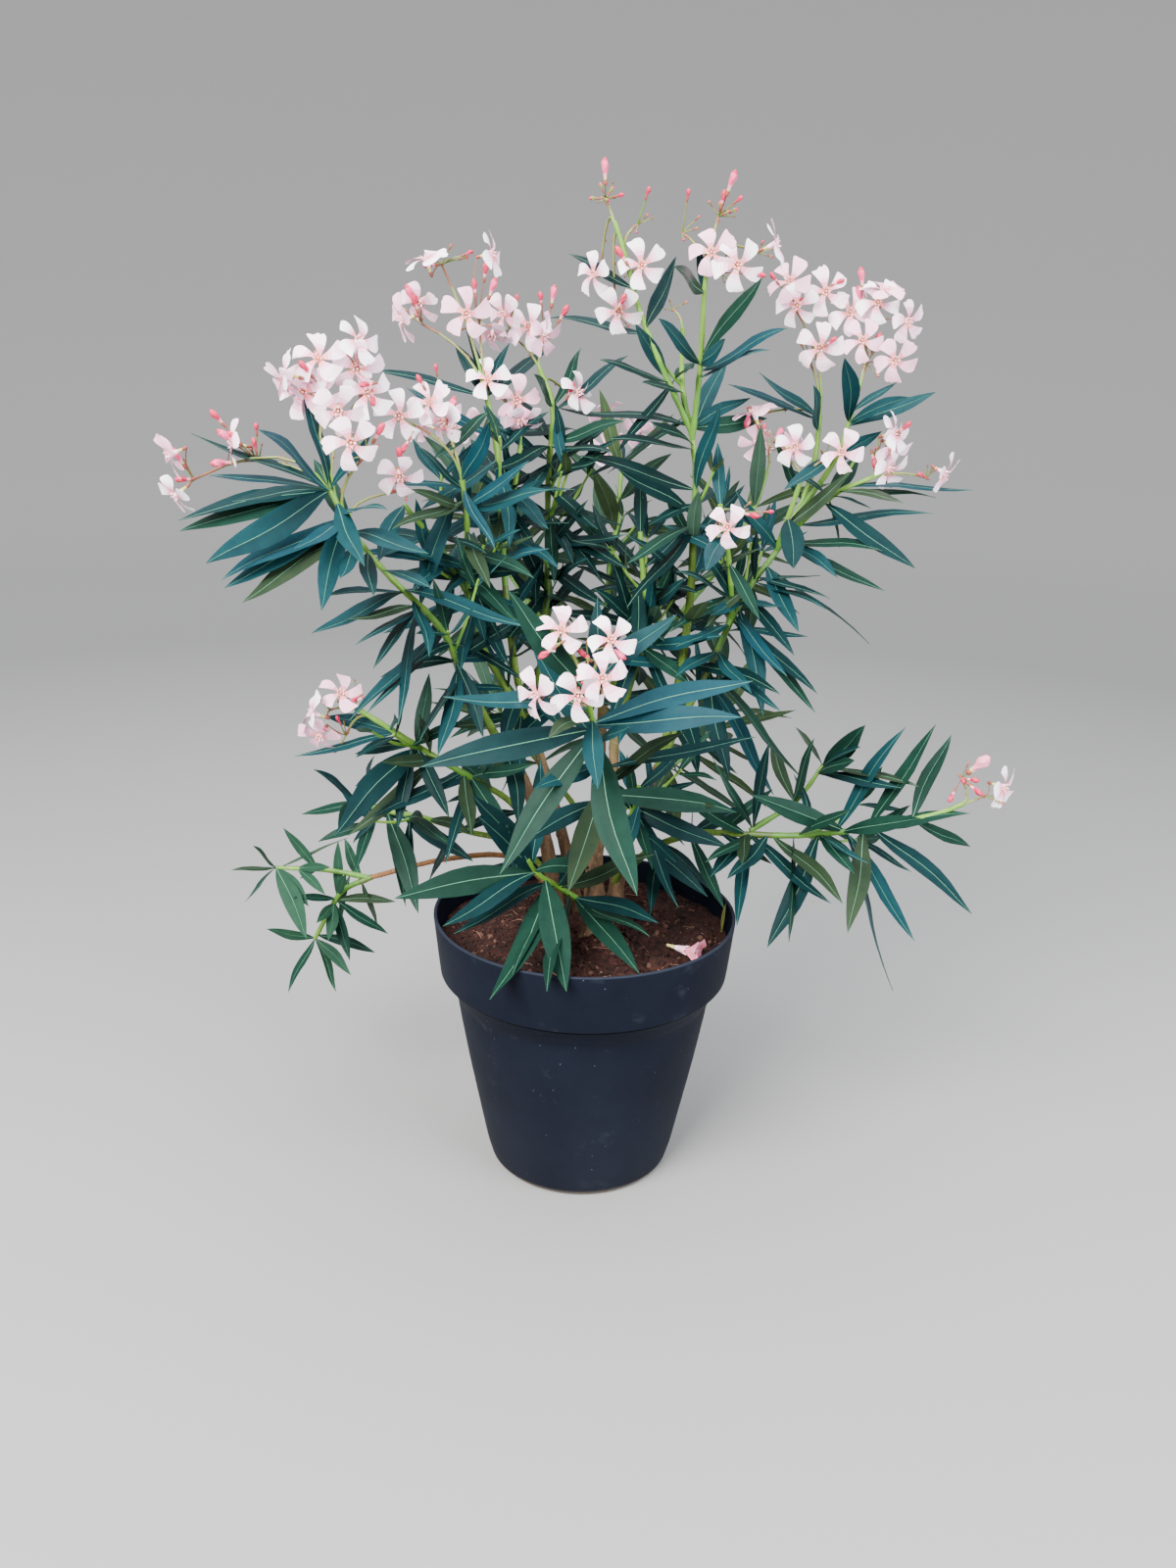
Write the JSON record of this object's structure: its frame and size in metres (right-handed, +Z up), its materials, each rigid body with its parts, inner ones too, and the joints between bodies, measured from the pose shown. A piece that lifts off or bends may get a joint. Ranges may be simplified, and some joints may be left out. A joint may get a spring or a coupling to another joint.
{
  "type": "potted oleander shrub",
  "caption": "Flowering shrub of slender stems, whorled narrow leaves and pink blossom, growing from soil in a round tapered pot with a deep collar.",
  "frame": {"origin": "centre of the pot's flat underside", "axes": "+Z up through the pot and plant, -Y towards the pictured front, +X to the right seen from the front"},
  "size_m": [0.9982, 0.7079, 1.2388],
  "materials": {
    "pot": "matte anthracite moulded plastic with faint scuffs",
    "soil": "loose dark red-brown potting soil",
    "wood": "smooth grey-brown bark, green on the young boughs",
    "foliage": "leathery dark green leaf with a pale midrib",
    "blossom": "thin pale pink petal"
  },
  "bodies": {
    "root": {"pot": "pot", "soil": "soil", "stem_left": "wood", "stem_right": "wood", "stem_middle": "wood", "stem_centre": "wood", "stem_front": "wood", "stem_back": "wood", "bough_far_left": "wood", "bough_low_left": "wood", "bough_bottom_left": "wood", "twig_ground_left": "wood", "bough_middle_left": "wood", "bough_middle_high": "wood", "bough_middle_back": "wood", "bough_tall": "wood", "bough_right": "wood", "bough_low_right": "wood", "bough_front_right": "wood", "bough_centre": "wood", "bough_back_left": "wood", "bough_back_high": "wood", "bough_back_right": "wood", "bough_back_low_left": "wood", "bough_back_low_right": "wood", "crown_far_left": "foliage", "crown_left": "foliage", "crown_high_left": "foliage", "crown_high_middle": "foliage", "crown_top": "foliage", "crown_right": "foliage", "crown_low_right": "foliage", "crown_front": "foliage", "crown_front_right": "foliage", "crown_low_left": "foliage", "crown_bottom_left": "foliage", "spray_ground_left": "foliage", "spray_rim_front": "foliage", "crown_centre": "foliage", "crown_back_left": "foliage", "crown_back_high": "foliage", "crown_back_right": "foliage", "crown_back_low_left": "foliage", "crown_back_low_right": "foliage", "fallen_blossom": "blossom"}
  },
  "joints": []
}
